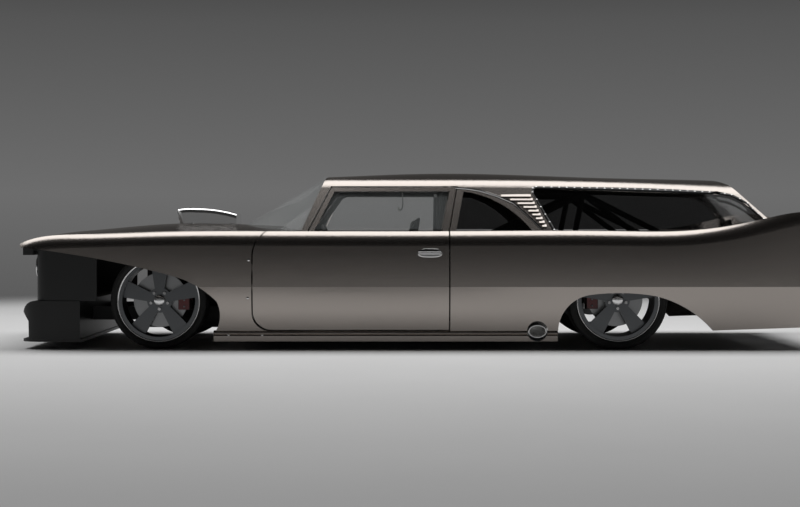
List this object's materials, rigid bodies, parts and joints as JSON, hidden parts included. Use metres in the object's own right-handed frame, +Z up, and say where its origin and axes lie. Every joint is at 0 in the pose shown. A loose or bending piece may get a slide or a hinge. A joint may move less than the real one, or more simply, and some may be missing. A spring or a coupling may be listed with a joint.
{
  "type": "race car",
  "caption": "Low chopped two-door estate race car with finned tail, hood scoop, side exhausts, roll cage, opening doors, lift-off hood, drop tailgate and steered front wheels.",
  "frame": {"origin": "on the floor under the middle of the car's length and width", "axes": "+X to the rear, +Y to the car's right, +Z up"},
  "size_m": [5.272, 1.978, 1.1732],
  "materials": {
    "body_paint": "satin metallic gunmetal",
    "black_paint": "satin black",
    "chassis_paint": "chassis black",
    "glass": "clear",
    "chrome": "polished",
    "cast_iron": "as cast",
    "tyre": "matt",
    "wheel_alloy": "satin with polished lip",
    "disc_iron": "turned",
    "aluminium": "satin",
    "polished_aluminium": "polished",
    "lamp_glass": "clear lens",
    "red_lens": "lens",
    "steel": "bright",
    "cage_paint": "satin black",
    "cabin_plastic": "matt",
    "seat_vinyl": "vinyl"
  },
  "bodies": {
    "body": {"fender_left": "body_paint", "quarter_left": "body_paint", "fender_right": "body_paint", "quarter_right": "body_paint", "roof": "body_paint", "cowl": "body_paint", "louvres": "body_paint", "nose_panel": "black_paint", "front_bumper": "black_paint", "splitter": "black_paint", "side_skirts": "black_paint", "rear_bumper": "black_paint", "front_rails": "chassis_paint", "rear_rails": "chassis_paint", "floor": "chassis_paint", "front_arms": "chassis_paint", "rear_axle": "chassis_paint", "windscreen": "glass", "side_windows": "glass", "rear_window": "glass", "grille": "aluminium", "headlamps": "lamp_glass", "tail_lamps": "red_lens", "exhausts": "steel", "engine": "cast_iron", "roll_cage": "cage_paint", "dash": "cabin_plastic", "steering_wheel": "cabin_plastic", "seats": "seat_vinyl"},
    "door_left": {"door_left": "body_paint", "door_glass_left": "glass", "door_handle_left": "chrome"},
    "knuckle_left": {"knuckle_left": "cast_iron"},
    "wheel_front_left": {"tyre_front_left": "tyre", "wheel_front_left": "wheel_alloy", "brake_disc_front_left": "disc_iron"},
    "wheel_rear_left": {"tyre_rear_left": "tyre", "wheel_rear_left": "wheel_alloy", "brake_disc_rear_left": "disc_iron"},
    "door_right": {"door_right": "body_paint", "door_glass_right": "glass", "door_handle_right": "chrome"},
    "knuckle_right": {"knuckle_right": "cast_iron"},
    "wheel_front_right": {"tyre_front_right": "tyre", "wheel_front_right": "wheel_alloy", "brake_disc_front_right": "disc_iron"},
    "wheel_rear_right": {"tyre_rear_right": "tyre", "wheel_rear_right": "wheel_alloy", "brake_disc_rear_right": "disc_iron"},
    "hood": {"hood": "body_paint", "scoop": "polished_aluminium"},
    "tailgate": {"tailgate": "body_paint"}
  },
  "joints": [
    {"name": "steer_left", "type": "hinge", "parent": "body", "child": "knuckle_left", "pos_m": [-1.743, -0.61, 0.318], "axis": [0, 0, 1], "range_deg": [-25, 25]},
    {"name": "wheel_front_left_spin", "type": "hinge", "parent": "knuckle_left", "child": "wheel_front_left", "pos_m": [-1.743, -0.735, 0.318], "axis": [0, 1, 0], "continuous": true},
    {"name": "wheel_rear_left_spin", "type": "hinge", "parent": "body", "child": "wheel_rear_left", "pos_m": [1.254, -0.755, 0.324], "axis": [0, 1, 0], "continuous": true},
    {"name": "door_left_hinge", "type": "hinge", "parent": "body", "child": "door_left", "pos_m": [-1.088, -0.967, 0.472], "axis": [0, 0, -1], "range_deg": [0, 62]},
    {"name": "steer_right", "type": "hinge", "parent": "body", "child": "knuckle_right", "pos_m": [-1.743, 0.61, 0.318], "axis": [0, 0, 1], "range_deg": [-25, 25]},
    {"name": "wheel_front_right_spin", "type": "hinge", "parent": "knuckle_right", "child": "wheel_front_right", "pos_m": [-1.743, 0.735, 0.318], "axis": [0, 1, 0], "continuous": true},
    {"name": "wheel_rear_right_spin", "type": "hinge", "parent": "body", "child": "wheel_rear_right", "pos_m": [1.254, 0.755, 0.324], "axis": [0, 1, 0], "continuous": true},
    {"name": "door_right_hinge", "type": "hinge", "parent": "body", "child": "door_right", "pos_m": [-1.088, 0.967, 0.472], "axis": [0, 0, 1], "range_deg": [0, 62]},
    {"name": "hood_lift", "type": "slide", "parent": "body", "child": "hood", "axis": [0, 0, 1], "range_m": [0, 0.35]},
    {"name": "tailgate_hinge", "type": "hinge", "parent": "body", "child": "tailgate", "pos_m": [2.4284, 0, 0.345], "axis": [0, 1, 0], "range_deg": [0, 104]}
  ],
  "couplings": [
    {"joint": "steer_right", "follows": "steer_left", "ratio": 1}
  ]
}
